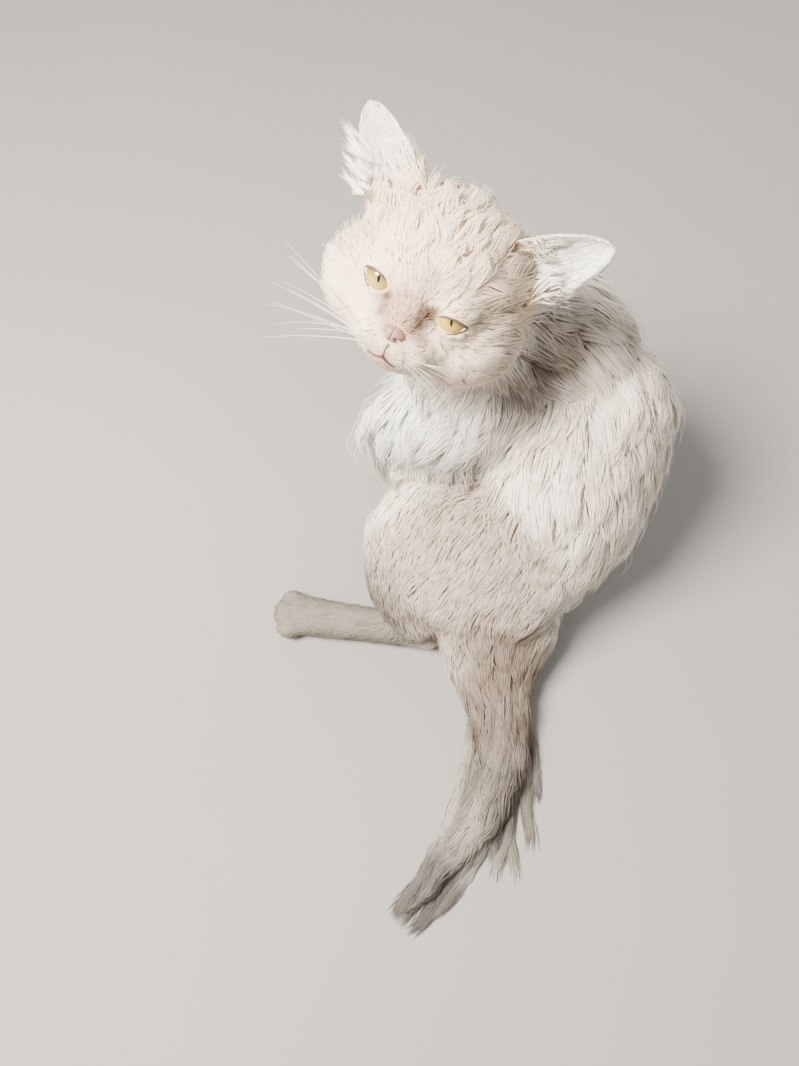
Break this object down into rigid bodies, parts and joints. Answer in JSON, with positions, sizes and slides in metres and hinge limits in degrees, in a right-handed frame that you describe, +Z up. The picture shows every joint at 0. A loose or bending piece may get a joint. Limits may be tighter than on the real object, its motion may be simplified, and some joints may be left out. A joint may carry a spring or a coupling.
{
  "type": "persian cat figure",
  "caption": "Life-size still model of a cream long-haired Persian cat, half lying on one hip with its head turned back over the shoulder.",
  "frame": {"origin": "on the floor, at the middle of the area that the cat covers", "axes": "+Z up, +Y away from the side that the face looks to, +X to the right of that view"},
  "size_m": [0.3057, 0.4288, 0.3537],
  "materials": {
    "coat_cream": "long soft cream fur",
    "coat_white": "long soft white fur",
    "coat_beige": "short beige fur",
    "coat_smoke": "grey-brown long fur",
    "nose_leather": "moist bare skin",
    "eye": "wet clear eye"
  },
  "bodies": {
    "root": {"chest": "coat_white", "ear_left": "coat_cream", "ear_right": "coat_cream", "eye_left": "eye", "eye_right": "eye", "foot_left": "coat_beige", "foot_right": "coat_beige", "foreleg_left": "coat_cream", "foreleg_right": "coat_cream", "forepaw_left": "coat_cream", "forepaw_right": "coat_cream", "head": "coat_cream", "neck": "coat_cream", "nose": "nose_leather", "ribs": "coat_cream", "rump": "coat_cream", "shank_left": "coat_beige", "shank_right": "coat_beige", "tail_middle": "coat_beige", "tail_root": "coat_beige", "tail_tip": "coat_smoke", "thigh_left": "coat_beige", "thigh_right": "coat_beige"}
  },
  "joints": []
}
